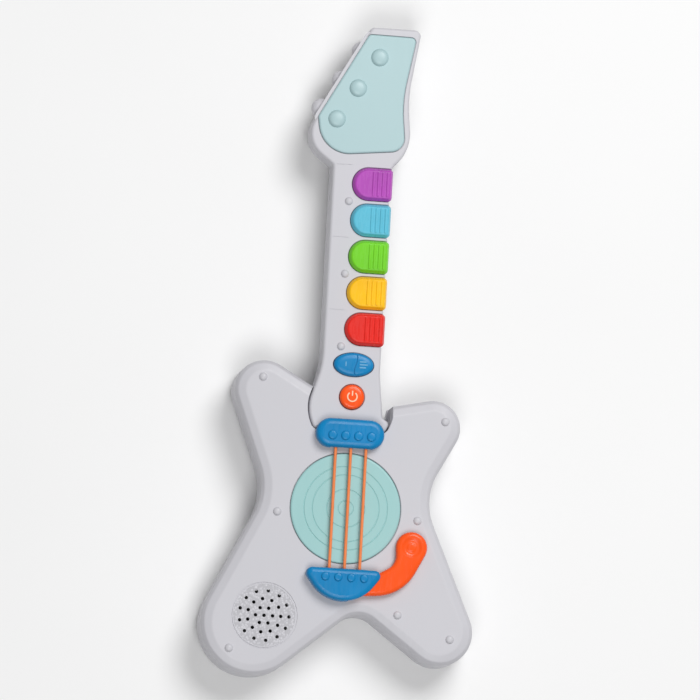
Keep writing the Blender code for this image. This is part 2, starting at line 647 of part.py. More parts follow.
def screws():
    for index, (x, y) in enumerate(BODY_SCREWS):
        case_screw("body_screw_%d" % (index + 1), x, y, *BODY_SCREW)
    for index, (x, y) in enumerate(NECK_SCREWS):
        case_screw("neck_screw_%d" % (index + 1), x, y, *NECK_SCREW)
    turned(*WHAMMY_PIVOT, ((0.0, 28.0), (1.4, 29.0), (1.4, 42.7), (3.1, 42.7), (3.1, 43.6), (2.2, 44.5),
                           (0.0, 44.5)), 12, "whammy_pivot_screw", STEEL)


def batteries():
    for index in range(3):
        x = (index - 1) * CELL_PITCH
        rings = [[(px, y, pz) for px, pz in circle(x, CELL_Z, radius, 20)] for radius, y in
                 ((CELL_RADIUS, CELL_ENDS[0]), (CELL_RADIUS, CELL_ENDS[1]), (2.7, CELL_ENDS[1]), (2.7, 22.7))]
        loft("battery_%d" % (index + 1), rings, BATTERY)
        coil((x, -32.8, CELL_Z), 3.0, 0.35, 4.2, 3, "y", "battery_spring_%d" % (index + 1))
    block(-22.5, 22.5, 23.0, 23.5, *CONTACT_Z, "battery_contact_upper", STEEL)
    block(-22.5, 22.5, -33.8, -33.3, *CONTACT_Z, "battery_contact_lower", STEEL)


def battery_door():
    left, right, low, high = DOOR
    door = block(left, right, low, high, 0.0, 2.2, "battery_door", WHITE)
    ribs = [block(x - 0.6, x + 0.6, -26.0, 16.0, 2.0, 4.0) for x in (-23.2, 23.2)]
    finger_dent = block(-10.0, 10.0, -36.0, -33.0, -1.0, 0.8)
    add(door, *ribs)
    cut(door, finger_dent, rod(*DOOR_SCREW, 3.2, -1.0, 1.2, 12))
    cut(door, rod(*DOOR_SCREW, 1.8, 0.0, 4.0, 8))
    turned(*DOOR_SCREW, ((0.0, 0.2), (2.0, 0.2), (2.8, 0.9), (1.3, 0.9), (1.3, 8.4), (0.0, 9.0)), 8,
           "battery_door_screw", STEEL)


def boards():
    main = block(-25.0, 25.0, -34.0, 24.0, 23.0, 24.6, "main_board", BOARD)
    add(main, block(-6.0, 2.0, 6.0, 16.0, 24.0, 26.0), rod(-16.0, 10.0, 2.6, 24.0, 28.6),
        block(10.0, 20.0, 12.0, 18.0, 24.0, 27.0))
    neck = block(-15.0, 14.0, 62.0, 226.0, 24.4, 26.0, "neck_board", BOARD)
    cut(neck, *[rod(x, y, 4.4, 20.0, 30.0) for x, y in NECK_SCREWS[:3]])
    mat = block(-12.0, 13.0, 111.0, 226.0, *MAT_Z, "key_mat", SILICONE)
    add(mat, *[rod(6.4, key_y(i), 4.0, *PAD_Z, 8) for i in range(5)])
    cut(mat, *[rod(x, y, 4.4, 20.0, 30.0) for x, y in NECK_SCREWS[1:3]])
    buttons = block(-14.0, 14.0, 64.0, 101.6, *MAT_Z, "button_mat", SILICONE)
    add(buttons, rod(*POWER, 4.0, *PAD_Z), rod(ROCKER[0] - 8.0, ROCKER[1], 3.0, *PAD_Z),
        rod(ROCKER[0] + 8.0, ROCKER[1], 3.0, *PAD_Z))
    block(8.4, 14.4, -5.0, 5.0, 24.9, 32.0, "strum_switch", BLACK)
    block(-13.0, -5.4, -58.0, -48.0, 24.0, 33.0, "whammy_sensor", BLACK)


def springs():
    coil((-14.2, -20.0, 31.3), 1.6, 0.3, 11.6, 5, "x", "strum_spring_left")
    coil((4.6, -20.0, 31.3), 1.6, 0.3, 11.6, 5, "x", "strum_spring_right")
    coil((*WHAMMY_PIVOT, 28.0), 5.4, 0.4, 4.6, 3, "z", "whammy_return_spring")


def leads():
    wire(((0.0, 61.4, 25.2), (0.0, 56.0, 25.2), (0.0, 50.0, 25.1), (0.0, 44.0, 24.8), (0.0, 36.0, 24.2),
          (0.0, 29.0, 23.9), (0.0, 24.4, 23.8)), 1.3, "neck_cable", CABLE, 8)
    wire(((-42.6, -60.4, 21.0), (-40.6, -55.6, 21.4), (-37.2, -50.0, 22.4), (-33.4, -44.2, 23.4),
          (-30.6, -37.0, 23.8), (-29.6, -30.0, 23.8), (-28.2, -26.0, 23.8), (-26.0, -25.0, 23.8)),
         0.9, "speaker_lead", CABLE)
    wire(((26.4, 8.0, 12.0), (28.2, 8.0, 12.4), (29.8, 8.2, 14.0), (30.6, 8.6, 17.0), (30.4, 9.0, 20.0),
          (29.2, 9.4, 22.4), (27.2, 9.8, 23.6), (25.4, 10.0, 23.8)), 0.9, "battery_lead", CABLE)


clear_scene()
body_front_shell()
body_rear_shell()
sound_disc()
pickup_cover()
bridge_cover()
neck_front_shell()
neck_rear_shell()
headstock_plate()
for key_index, (key_name, key_colour) in enumerate(KEY_COLOURS):
    fret_key(key_index, key_name, key_colour)
power_button()
mode_rocker()
strings_and_carriage()
whammy_bar()
speaker()
screws()
batteries()
battery_door()
boards()
springs()
leads()
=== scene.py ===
"""Looks of the toy electric guitar: smooth moulded shells, glossy controls, a pale floor and soft light.

Shapes are in millimetres from the centre of the sound disc, as seen from the front with the neck up.
Places are read from the CAD frame, and in_metres turns a point into the frame's metres.
"""
import math

import bmesh
import bpy
from mathutils import Matrix, Vector


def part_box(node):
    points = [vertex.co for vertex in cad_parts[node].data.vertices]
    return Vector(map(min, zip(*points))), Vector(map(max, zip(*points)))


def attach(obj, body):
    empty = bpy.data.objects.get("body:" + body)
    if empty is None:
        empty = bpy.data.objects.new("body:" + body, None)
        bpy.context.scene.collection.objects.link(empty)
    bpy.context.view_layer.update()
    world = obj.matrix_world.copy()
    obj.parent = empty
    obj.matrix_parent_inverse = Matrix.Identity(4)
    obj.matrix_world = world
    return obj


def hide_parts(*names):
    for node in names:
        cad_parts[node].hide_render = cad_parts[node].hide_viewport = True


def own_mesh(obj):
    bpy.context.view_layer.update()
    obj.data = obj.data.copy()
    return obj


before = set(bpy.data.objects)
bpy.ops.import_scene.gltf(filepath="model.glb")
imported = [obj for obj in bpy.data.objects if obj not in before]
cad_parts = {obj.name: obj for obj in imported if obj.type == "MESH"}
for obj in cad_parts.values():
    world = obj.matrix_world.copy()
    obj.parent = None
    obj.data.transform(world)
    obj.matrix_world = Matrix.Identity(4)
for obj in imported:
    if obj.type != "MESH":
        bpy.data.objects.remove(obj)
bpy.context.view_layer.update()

MM = 0.001
MERGE = 0.000001              # metres within which corners are welded
CHORD_ERROR = 0.03            # how far an outline's straight pieces may cut inside its arcs
GAP = 0.3                     # clearance between neighbouring pieces
SEAT_GAP = 0.35               # clearance round the keys, the buttons and the head plate
ROOT = 0.8                    # how far studs and domes are sunk into their faces
DISC_MIDDLE = (0.0, 0.0)


def middle(node):
    low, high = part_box(node)
    return (low + high) / 2


DISC_CENTRE = middle("sound_disc")
ORIGIN = Vector((DISC_CENTRE.x, DISC_CENTRE.y, 0.0))


def place_of(node):
    """x, y of a node's middle in millimetres from the disc."""
    centre = (middle(node) - ORIGIN) / MM
    return centre.x, centre.y


def span_of(node):
    """Lowest and highest corner of a node in millimetres from the disc."""
    low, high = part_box(node)
    return (low - ORIGIN) / MM, (high - ORIGIN) / MM


# Depths, from the flat back at 0
BODY_FACE = 38.0
BODY_PARTING = 19.0
NECK_FACE = 37.0
NECK_BACK = 12.0
NECK_PARTING = 25.0
WALL = 2.2
NECK_WALL = 2.0
PLATE_SEAT = 36.0             # under the sound disc and the head plate
POCKET_FLOOR = 11.4
BAY_CEILING = 17.2
BACK_ROOT = 1.0               # walls and bosses of the back start inside its skin
BOSS_TOP = 36.4               # bosses of the front end inside its skin
FIELD_Z = 37.8                # floor of the speaker grille's field
COVER_FOOT = BODY_FACE + GAP
KEY_FOOT = 31.5               # undersides of the keys and the power button
KEY_TOP = 40.4
MOUTH_TOP = 43.4              # upper edge of the covers' openings for the strings

# Heights where cutting tools start or end, clear of what they cut
BELOW = -5.0
INSIDE = 30.0
UNDER_COVERS = 36.0
ABOVE = 45.0

# Outlines as belts round circles: x, y, radius. A negative radius is a hollow bend.
BODY = (
    (66.5, -77.0, 22.0),      # right leg
    (95.7, 9.0, -40.0),       # right waist
    (55.5, 57.0, 18.0),       # right horn
    (3.9, 74.5, -10.0),       # saddle under the heel
    (-57.0, 75.0, 19.5),      # left horn
    (-95.7, 10.0, -40.0),     # left waist
    (-56.5, -78.5, 34.0),     # left leg
    (13.0, -85.0, -16.0),     # crotch
)
HEEL = (0.0, 66.4, 27.5)
NECK = (
    (21.6, 54.8, 3.0),        # heel, bottom right
    (22.6, 57.0, 3.0),        # shoulder of the heel
    (23.4, 62.4, -2.0),       # notch above the shoulder
    (58.3, 92.0, -40.0),      # slight flare of the right side
    (28.3, 222.0, -10.0),     # right side into the headstock
    (1.8, 249.0, 28.0),       # right cheek
    (118.0, 272.0, -90.0),    # hollow side of the headstock
    (29.3, 314.9, 4.0),       # top right corner
    (3.0, 314.9, 4.0),        # top left corner
    (-18.4, 246.8, 17.6),     # left cheek
    (-22.8, 225.0, -2.5),     # left cheek into the neck
    (-78.4, 102.0, -58.0),    # flare towards the heel
    HEEL,
    (-21.6, 54.8, 3.0),       # heel, bottom left
)
POCKET = ((0.0, 66.4, 28.3), (-21.6, 54.5, 3.4), (21.6, 54.5, 3.4))
HEAD_PLATE = (
    (16.9, 246.0, 9.0),       # round lower right end
    (112.0, 268.0, -88.0),    # hollow right side
    (27.0, 310.5, 3.0),       # top right corner
    (0.9, 310.8, 3.0),        # top left corner
    (-28.0, 256.9, 3.6),      # lower left corner
    (-11.0, 254.0, 20.0),     # bulging lower side
)
PLATE_LEFT_SIDE = ((-32.0, 257.1), (-1.7, 312.2))     # where the plate runs out over the head's edge
BRIDGE = (
    (0.4, -36.4, 25.0),       # round lower side
    (20.9, -44.0, 4.0),       # top right corner
    (-20.1, -44.0, 4.0),      # top left corner
)
PICKUP = ((12.9, 48.8, 9.7), (-12.9, 48.8, 9.7))
WHAMMY_HEAD = (44.4, -23.4)
WHAMMY_PEG = (-1.0, -53.0)
WHAMMY = (
    (*WHAMMY_PEG, 2.8),       # tail that carries the peg
    (8.0, -53.0, 4.5),        # hub
    (21.0, -26.5, 30.0),      # outer edge of the sickle
    (*WHAMMY_HEAD, 10.4),     # head
    (24.5, -29.5, -10.0),     # inner edge of the sickle
    (12.5, -39.5, -7.5),      # hollow that clears the strings' feet
)

# Left, right, lower and upper edges
NOTCH = (18.9, 26.9, 60.9, 80.0)                      # beside the heel
BAY = (-24.0, 24.0, -34.0, 24.0)                      # for the batteries

# Left and right ends of what the strings slide in
STRING_MOUTH = (-12.4, 14.4)                          # openings in the covers
STRING_SLOT = (-12.2, 14.2)                           # slots in the front shell

# Places read from the frame, or worked out from those
PIVOT = place_of("whammy_pivot_screw")
SPEAKER = place_of("speaker_frame")
POWER = place_of("power_button")
ROCKER = place_of("mode_rocker")
DOOR_SCREW = place_of("battery_door_screw")
BODY_SCREWS = [place_of("body_screw_%d" % i) for i in range(1, 8)]
NECK_SCREWS = [place_of("neck_screw_%d" % i) for i in range(1, 6)]
STRING_X = [place_of("string_%d" % i)[0] for i in range(1, 4)]
KEY_NAMES = ("red", "yellow", "green", "light_blue", "purple")
KEY_Y = [place_of("fret_key_" + name)[1] for name in KEY_NAMES]
KEY_PITCH = KEY_Y[1] - KEY_Y[0]
FRET_LINES = [KEY_Y[i] + KEY_PITCH / 2 for i in (0, 2, 4)]
FRET_SPAN = (-17.8, -7.6)                             # left and right ends of the fret lines
NECK_DOTS = [(-8.5, KEY_Y[0] + (2 * i - 0.5) * KEY_PITCH) for i in range(3)]

# Sizes shared by several pieces
DISC_RADIUS = 36.2
DISC_LINES = (27.5, 22.0, 12.5, 5.0)                  # radii of the engraved rings
KEY_LEFT = -6.8
KEY_RIGHT = 19.6
KEY_RADIUS = 10.7
RIB_X = (6.9, 10.0, 13.1, 16.2)                       # ribs on the keys
POWER_RADIUS = 8.1
ROCKER_HALF = (13.2, 7.8)
STRING_ENDS = (43.6, -41.6)                           # y of the strings' feet
TUNERS = ((-4.5, 303.2), (-16.6, 283.1), (-29.1, 263.6))
TUNER_RADIUS = 6.6
PLATE_DOMES = ((6.7, 298.8), (-6.5, 277.6), (-19.4, 256.4))
FIELD_RADIUS = 20.4
GRILLE_RINGS = ((0.0, 1), (5.6, 6), (11.0, 11), (16.4, 13))   # radius, holes
GRILLE_HOLE = 1.2
STUD_X = [1.0 + (i - 1.5) * 8.5 for i in range(4)]
STUD_HEIGHT = 1.2
DOME_HEIGHT = 1.8
BOSS_RADIUS = 3.6
BODY_BORE = 1.75
NECK_BORE = 1.4
DOOR_BORE = 1.8
PIVOT_BORE = 1.9


# ---------------------------------------------------------------- outlines

def belt(circles, inset=0.0):
    """Closed outline of a belt laid round circles, moved inwards by inset."""
    count = len(circles)
    normals = []
    for index, (x, y, radius) in enumerate(circles):
        x2, y2, radius2 = circles[(index + 1) % count]
        heading = math.atan2(y2 - y, x2 - x)
        ratio = (radius - radius2) / math.hypot(x2 - x, y2 - y)
        normals.append(heading - math.acos(max(-1.0, min(1.0, ratio))))
    points = []
    for index, (x, y, radius) in enumerate(circles):
        start = normals[index - 1]
        turn = (normals[index] - start) % math.tau
        if radius < 0:
            turn -= math.tau
        step = 2 * math.acos(1 - CHORD_ERROR / abs(radius))
        pieces = max(2, round(abs(turn) / step))
        for piece in range(pieces + 1):
            angle = start + turn * piece / pieces
            reach = radius - inset
            points.append((x + reach * math.cos(angle), y + reach * math.sin(angle)))
    return points


def circle(x, y, radius, sides=48):
    return ellipse(x, y, radius, radius, sides)


def ellipse(x, y, half_x, half_y, sides=72):
    return [(x + half_x * math.cos(math.tau * i / sides), y + half_y * math.sin(math.tau * i / sides))
            for i in range(sides)]


def rectangle(x0, x1, y0, y1):
    return [(x0, y0), (x1, y0), (x1, y1), (x0, y1)]


def soften(steps, reach=1.0, pieces=4):
    """The same profile with each inner corner rounded."""
    soft = [tuple(steps[0])]
    for before, corner, after in zip(steps, steps[1:], steps[2:]):
        before, corner, after = Vector(before), Vector(corner), Vector(after)
        back = (before - corner).normalized() * min(reach, (before - corner).length * 0.45)
        on = (after - corner).normalized() * min(reach, (after - corner).length * 0.45)
        for piece in range(pieces + 1):
            t = piece / pieces
            soft.append(tuple(corner + back * (1 - t) ** 2 + on * t ** 2))
    soft.append(tuple(steps[-1]))
    return soft


# ---------------------------------------------------------------- solids

def in_metres(point):
    return Vector(point) * MM + ORIGIN


def finish(name, bm):
    bmesh.ops.remove_doubles(bm, verts=bm.verts, dist=MERGE)
    bmesh.ops.recalc_face_normals(bm, faces=bm.faces)
    mesh = bpy.data.meshes.new(name)
    bm.to_mesh(mesh)
    bm.free()
    made = bpy.data.objects.new(name, mesh)
    bpy.context.scene.collection.objects.link(made)
    return made


def loft(name, rings):
    """Closed solid through rings of equal length, with a flat cap on the first and the last."""
    bm = bmesh.new()
    levels = [[bm.verts.new(in_metres(point)) for point in ring] for ring in rings]
    for low, high in zip(levels, levels[1:]):
        for i in range(len(low)):
            j = (i + 1) % len(low)
            bm.faces.new((low[i], low[j], high[j], high[i]))
    bm.faces.new(list(reversed(levels[0])))
    bm.faces.new(levels[-1])
    return finish(name, bm)


def stacked(outline_at, steps, name="tool"):
    """Solid through the outlines that a function gives for each inset, at (inset, height) steps."""
    return loft(name, [[(x, y, z) for x, y in outline_at(inset)] for inset, z in steps])


def belted(circles, steps, name="tool"):
    """Solid through one belt round circles at (inset, height) steps."""
    return stacked(lambda inset: belt(circles, inset), steps, name)


def prism(outline, z0, z1, name="tool"):
    return loft(name, [[(x, y, z) for x, y in outline] for z in (z0, z1)])


def block(x0, x1, y0, y1, z0, z1, name="tool"):
    return prism(rectangle(x0, x1, y0, y1), z0, z1, name)


def rod(x, y, radius, z0, z1, sides=32, name="tool"):
    return prism(circle(x, y, radius, sides), z0, z1, name)


def turned(x, y, profile, sides=48, name="tool"):
    """Solid of revolution about a Z axis through x, y; a profile off the axis closes on itself."""
    bm = bmesh.new()
    rings = []
    for radius, z in profile:
        if radius == 0.0:
            rings.append([bm.verts.new(in_metres((x, y, z)))])
        else:
            rings.append([bm.verts.new(in_metres((px, py, z))) for px, py in circle(x, y, radius, sides)])
    pairs = list(zip(rings, rings[1:]))
    if profile[0][0] != 0.0:
        pairs.append((rings[-1], rings[0]))
    for first, second in pairs:
        for i in range(sides):
            j = (i + 1) % sides
            corners = [first[i % len(first)], first[j % len(first)],
                       second[j % len(second)], second[i % len(second)]]
            bm.faces.new(list(dict.fromkeys(corners)))
    return finish(name, bm)


def tube(points, radius, name, sides=16):
    """Round rod through points, with flat ends."""
    path = [Vector(point) for point in points]
    rings = []
    side = None
    for index, point in enumerate(path):
        along = (path[min(index + 1, len(path) - 1)] - path[max(index - 1, 0)]).normalized()
        if side is None:
            side = along.orthogonal().normalized()
        side = (side - along * side.dot(along)).normalized()
        other = along.cross(side)
        rings.append([point + radius * (side * math.cos(math.tau * i / sides)
                                        + other * math.sin(math.tau * i / sides)) for i in range(sides)])
    return loft(name, rings)


def joined(name, tools):
    """One mesh object holding all the tools as loose bodies."""
    bm = bmesh.new()
    for tool in tools:
        bm.from_mesh(tool.data)
        bpy.data.objects.remove(tool)
    return finish(name, bm)


def shape(target, operation, *tools):
    """Boolean of the target with the tools, which are used up."""
    tool = joined("tools", tools)
    modifier = target.modifiers.new("shape", "BOOLEAN")
    modifier.object = tool
    modifier.operation = operation
    modifier.solver = "EXACT"
    shaped = bpy.data.meshes.new_from_object(target.evaluated_get(bpy.context.evaluated_depsgraph_get()))
    shaped.name = target.name
    target.modifiers.clear()
    target.data = shaped
    bpy.data.objects.remove(tool)


def add(target, *tools):
    shape(target, "UNION", *tools)


def cut(target, *tools):
    shape(target, "DIFFERENCE", *tools)


def keep_inside(tool, solid):
    """The part of a tool that lies inside a solid, which is used up."""
    shape(tool, "INTERSECT", solid)
    return tool


def show(piece, body, finish_material, slot, *nodes, sharp=32.0):
    """Gives a finished piece its material, its body and the CAD nodes that it stands for."""
    piece.data.materials.clear()
    piece.data.materials.append(finish_material)
    piece.data.shade_smooth()
    piece.data.set_sharp_from_angle(angle=math.radians(sharp))
    normals = piece.modifiers.new("normals", "WEIGHTED_NORMAL")
    normals.weight = 100
    normals.keep_sharp = True
    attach(piece, body)
    if nodes:
        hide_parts(*nodes)
    return piece


# ---------------------------------------------------------------- materials

class Surface:
    """A Principled material with helpers for the nodes that feed it."""

    def __init__(self, name, roughness, metallic=0.0, coat=0.0, coat_roughness=0.1, specular=0.5):
        self.material = bpy.data.materials.new(name)
        self.material.use_nodes = True
        self.tree = self.material.node_tree
        self.shader = self.tree.nodes["Principled BSDF"]
        self.shader.inputs["Roughness"].default_value = roughness
        self.shader.inputs["Metallic"].default_value = metallic
        self.shader.inputs["Coat Weight"].default_value = coat
        self.shader.inputs["Coat Roughness"].default_value = coat_roughness
        self.shader.inputs["Specular IOR Level"].default_value = specular
        self.coordinates = self.tree.nodes.new("ShaderNodeTexCoord").outputs["Object"]

    def link(self, output, node_input):
        self.tree.links.new(output, node_input)

    def stretched(self, scale):
        """Object coordinates scaled along each axis."""
        mapping = self.tree.nodes.new("ShaderNodeMapping")
        mapping.inputs["Scale"].default_value = scale
        self.link(self.coordinates, mapping.inputs["Vector"])
        return mapping.outputs["Vector"]

    def noise(self, scale, detail=3.0, roughness=0.5, vector=None):
        node = self.tree.nodes.new("ShaderNodeTexNoise")
        node.inputs["Scale"].default_value = scale
        node.inputs["Detail"].default_value = detail
        node.inputs["Roughness"].default_value = roughness
        self.link(vector or self.coordinates, node.inputs["Vector"])
        return node.outputs["Fac"]

    def cells(self, scale, feature="F1"):
        node = self.tree.nodes.new("ShaderNodeTexVoronoi")
        node.feature = feature
        node.inputs["Scale"].default_value = scale
        self.link(self.coordinates, node.inputs["Vector"])
        return node.outputs["Distance"]

    def waves(self, scale, distortion=0.0, rings=False, vector=None):
        node = self.tree.nodes.new("ShaderNodeTexWave")
        node.wave_type = "RINGS" if rings else "BANDS"
        node.inputs["Scale"].default_value = scale
        node.inputs["Distortion"].default_value = distortion
        self.link(vector or self.coordinates, node.inputs["Vector"])
        return node.outputs["Fac"]

    def ranged(self, value, low, high, start=0.3, end=0.7):
        """Maps value from start..end to low..high."""
        node = self.tree.nodes.new("ShaderNodeMapRange")
        node.inputs["From Min"].default_value = start
        node.inputs["From Max"].default_value = end
        node.inputs["To Min"].default_value = low
        node.inputs["To Max"].default_value = high
        self.link(value, node.inputs["Value"])
        return node.outputs["Result"]

    def mixed(self, factor, first, second):
        """Colour between two colours or colour outputs."""
        node = self.tree.nodes.new("ShaderNodeMix")
        node.data_type = "RGBA"
        self.link(factor, node.inputs["Factor"])
        for socket, colour in ((node.inputs[6], first), (node.inputs[7], second)):
            if isinstance(colour, bpy.types.NodeSocket):
                self.link(colour, socket)
            else:
                socket.default_value = (*colour, 1.0)
        return node.outputs[2]

    def bumped(self, *layers):
        """Bump from (height output, depth in metres, strength) layers, the broadest first."""
        normal = None
        for height, depth, strength in layers:
            node = self.tree.nodes.new("ShaderNodeBump")
            node.inputs["Distance"].default_value = depth
            node.inputs["Strength"].default_value = strength
            self.link(height, node.inputs["Height"])
            if normal is not None:
                self.link(normal, node.inputs["Normal"])
            normal = node.outputs["Normal"]
        self.link(normal, self.shader.inputs["Normal"])

    def paint(self, colour_output):
        self.link(colour_output, self.shader.inputs["Base Color"])

    def dull(self, value_output):
        self.link(value_output, self.shader.inputs["Roughness"])


def tint(colour, factor):
    return tuple(min(1.0, channel * factor) for channel in colour)


def satin_plastic(name, colour, roughness=0.42):
    """Moulded plastic with a spark-eroded grain, faint flow marks and handling scuffs."""
    made = Surface(name, roughness, specular=0.42)
    flow = made.noise(9.0, 2.0, 0.4, vector=made.stretched((1.0, 0.45, 1.0)))
    speck = made.noise(1400.0, 2.0)
    toned = made.mixed(made.ranged(flow, 0.0, 1.0), tint(colour, 0.975), tint(colour, 1.02))
    made.paint(made.mixed(made.ranged(speck, 0.0, 0.22, start=0.45, end=0.8), toned, tint(colour, 0.93)))
    scuffs = made.noise(210.0, 5.0, 0.7, vector=made.stretched((1.0, 0.18, 1.0)))
    made.dull(made.ranged(scuffs, roughness - 0.05, roughness + 0.09, start=0.35, end=0.7))
    made.bumped((flow, 0.0006, 0.05), (speck, 0.00004, 0.30), (made.cells(2300.0), 0.00003, 0.22))
    return made.material


def gloss_plastic(name, colour, roughness=0.2, coat=0.08):
    """Pigmented plastic with a polished skin, slight sink marks and fine hairlines."""
    made = Surface(name, roughness, coat=coat, coat_roughness=0.12, specular=0.28)
    flow = made.noise(60.0, 2.0, 0.5)
    mottle = made.noise(700.0, 3.0)
    toned = made.mixed(made.ranged(flow, 0.0, 1.0), tint(colour, 0.93), tint(colour, 1.05))
    made.paint(made.mixed(made.ranged(mottle, 0.0, 0.25, start=0.5, end=0.8), toned, tint(colour, 0.86)))
    hairs = made.noise(500.0, 4.0, 0.6, vector=made.stretched((1.0, 0.15, 0.4)))
    made.dull(made.ranged(hairs, roughness - 0.04, roughness + 0.10, start=0.4, end=0.75))
    made.bumped((flow, 0.00025, 0.10), (made.noise(2200.0, 2.0), 0.00002, 0.20))
    return made.material


def zinc(name):
    """Plated steel with fine turning lines and clouded plating."""
    made = Surface(name, 0.3, metallic=1.0)
    cloud = made.noise(350.0, 4.0, 0.6)
    made.paint(made.mixed(made.ranged(cloud, 0.0, 1.0), (0.52, 0.52, 0.54), (0.70, 0.70, 0.69)))
    made.dull(made.ranged(made.noise(1500.0, 3.0), 0.22, 0.42))
    made.bumped((made.waves(900.0, 2.0, rings=True), 0.00002, 0.25))
    return made.material


def board(name):
    """Green solder mask with copper runs and pads under it."""
    made = Surface(name, 0.38, coat=0.2)
    runs = made.waves(170.0, 6.0, vector=made.stretched((1.0, 0.5, 1.0)))
    copper = made.ranged(runs, 0.0, 1.0, start=0.75, end=0.85)
    green = made.mixed(copper, (0.012, 0.15, 0.05), (0.03, 0.26, 0.09))
    pads = made.ranged(made.cells(260.0), 1.0, 0.0, start=0.14, end=0.18)
    made.paint(made.mixed(pads, green, (0.62, 0.60, 0.55)))
    made.bumped((runs, 0.00006, 0.5))
    return made.material


def rubber(name, colour, roughness=0.6):
    """Matt rubber with a dusty bloom."""
    made = Surface(name, roughness, specular=0.3)
    bloom = made.noise(180.0, 5.0, 0.65)
    made.paint(made.mixed(made.ranged(bloom, 0.0, 1.0), tint(colour, 0.85), tint(colour, 1.15)))
    made.dull(made.ranged(bloom, roughness - 0.08, roughness + 0.1))
    made.bumped((made.noise(1600.0, 3.0), 0.00005, 0.3))
    return made.material


def cone_paper(name):
    """Pressed black paper with fibres."""
    made = Surface(name, 0.85, specular=0.2)
    fibre = made.noise(900.0, 6.0, 0.7, vector=made.stretched((1.0, 0.25, 1.0)))
    made.paint(made.mixed(made.ranged(fibre, 0.0, 1.0), (0.012, 0.012, 0.012), (0.05, 0.05, 0.05)))
    made.bumped((fibre, 0.0001, 0.6))
    return made.material


def cell_wrap(name):
    """Printed battery sleeve in plain grey with a darker band at one end."""
    made = Surface(name, 0.25, coat=0.4)
    split = made.tree.nodes.new("ShaderNodeSeparateXYZ")
    made.link(made.coordinates, split.inputs["Vector"])
    band_start = in_metres((0.0, 8.0, 0.0)).y
    band = made.ranged(split.outputs["Y"], 0.0, 1.0, start=band_start, end=band_start + 0.0003)
    grey = made.mixed(made.ranged(made.noise(120.0), 0.0, 1.0), (0.30, 0.31, 0.33), (0.36, 0.37, 0.39))
    made.paint(made.mixed(band, grey, (0.05, 0.05, 0.06)))
    made.bumped((made.noise(500.0, 3.0), 0.00004, 0.2))
    return made.material


def shaded_grille_plastic(name, colour):
    """The shell's plastic with the close dotted texture round the speaker holes, with painted light on the
    dots and painted shade between them.
    """
    made = Surface(name, 0.5, specular=0.4)
    dots = made.cells(640.0)
    # Painted light and shade: the dots are painted lighter than the shell and the ground between them darker,
    # standing in for light on the moulded texture.
    between = made.ranged(dots, 0.0, 1.0, start=0.2, end=0.6)
    made.paint(made.mixed(between, tint(colour, 1.1), tint(colour, 0.82)))
    made.bumped((dots, 0.0005, 0.45))
    return made.material


def floor_paint(name):
    made = Surface(name, 0.75, specular=0.2)
    cloud = made.noise(3.0, 2.0)
    made.paint(made.mixed(made.ranged(cloud, 0.0, 1.0), (0.86, 0.86, 0.86), (0.88, 0.88, 0.88)))
    made.bumped((made.noise(600.0, 2.0), 0.0001, 0.05))
    return made.material


WHITE_COLOUR = (0.56, 0.555, 0.59)
MINT_COLOUR = (0.325, 0.565, 0.56)
PALE_MINT_COLOUR = (0.40, 0.56, 0.58)
BLUE_COLOUR = (0.004, 0.215, 0.49)
ORANGE_COLOUR = (1.0, 0.10, 0.012)
KEY_COLOURS = {
    "red": (0.78, 0.022, 0.014),
    "yellow": (0.96, 0.52, 0.006),
    "green": (0.17, 0.62, 0.02),
    "light_blue": (0.11, 0.50, 0.66),
    "purple": (0.44, 0.07, 0.46),
}
WHITE = satin_plastic("white_shell_plastic", WHITE_COLOUR)
MINT = satin_plastic("mint_plastic", MINT_COLOUR, 0.36)
PALE_MINT = satin_plastic("pale_mint_plastic", PALE_MINT_COLOUR, 0.36)
BLUE = gloss_plastic("blue_plastic", BLUE_COLOUR, 0.3, 0.0)
ORANGE = gloss_plastic("orange_plastic", ORANGE_COLOUR, 0.24)
STRING_ORANGE = gloss_plastic("string_plastic", (0.88, 0.25, 0.085), 0.3)
PEACH = gloss_plastic("peach_print", (0.95, 0.62, 0.42), 0.35, 0.1)
PALE_BLUE = gloss_plastic("pale_blue_print", (0.16, 0.42, 0.66), 0.35, 0.1)
SHADED_GRILLE = shaded_grille_plastic("shaded_grille_plastic", WHITE_COLOUR)
STEEL = zinc("zinc_plated_steel")
KEY_FINISH = {name: gloss_plastic(name + "_key_plastic", KEY_COLOURS[name], 0.27) for name in KEY_NAMES}


# ---------------------------------------------------------------- body

def dome(x, y, radius, base):
    """Low round bump that grows out of a face, with a soft foot."""
    root = base - ROOT
    foot = 0.12
    arc = 8
    profile = [(0.0, root), (radius + 0.5, root), (radius + 0.5, base), (radius, base + foot)]
    for i in range(1, arc):
        angle = math.pi / 2 * i / arc
        profile.append((radius * math.cos(angle), base + foot + (DOME_HEIGHT - foot) * math.sin(angle)))
    profile.append((0.0, base + DOME_HEIGHT))
    return turned(x, y, profile, 32)


def screw_bores(places, radius, z0, z1):
    return [rod(x, y, radius, z0, z1, 16) for x, y in places]


def grow_front_roots(shell):
    """Wall of the neck pocket, ledge under the disc, screw bosses and the domes over the screws."""
    core = belted(BODY, ((0.6, 20.2), (0.6, 33.0), (2.6, 35.6), (7.4, 37.2)))
    add(shell, keep_inside(prism(belt(POCKET, -WALL), 15.0, 36.9), core))
    ledge = 2.4
    pivot_boss_radius = 4.2
    dome_radius = 2.7
    add(shell, rod(*DISC_MIDDLE, DISC_RADIUS + ledge, PLATE_SEAT - ledge, BOSS_TOP, 96))
    add(shell, rod(*PIVOT, pivot_boss_radius, 26.0, BOSS_TOP),
        *[rod(x, y, BOSS_RADIUS, BODY_PARTING + 0.6, BOSS_TOP) for x, y in BODY_SCREWS])
    add(shell, *[dome(x, y, dome_radius, BODY_FACE) for x, y in BODY_SCREWS])


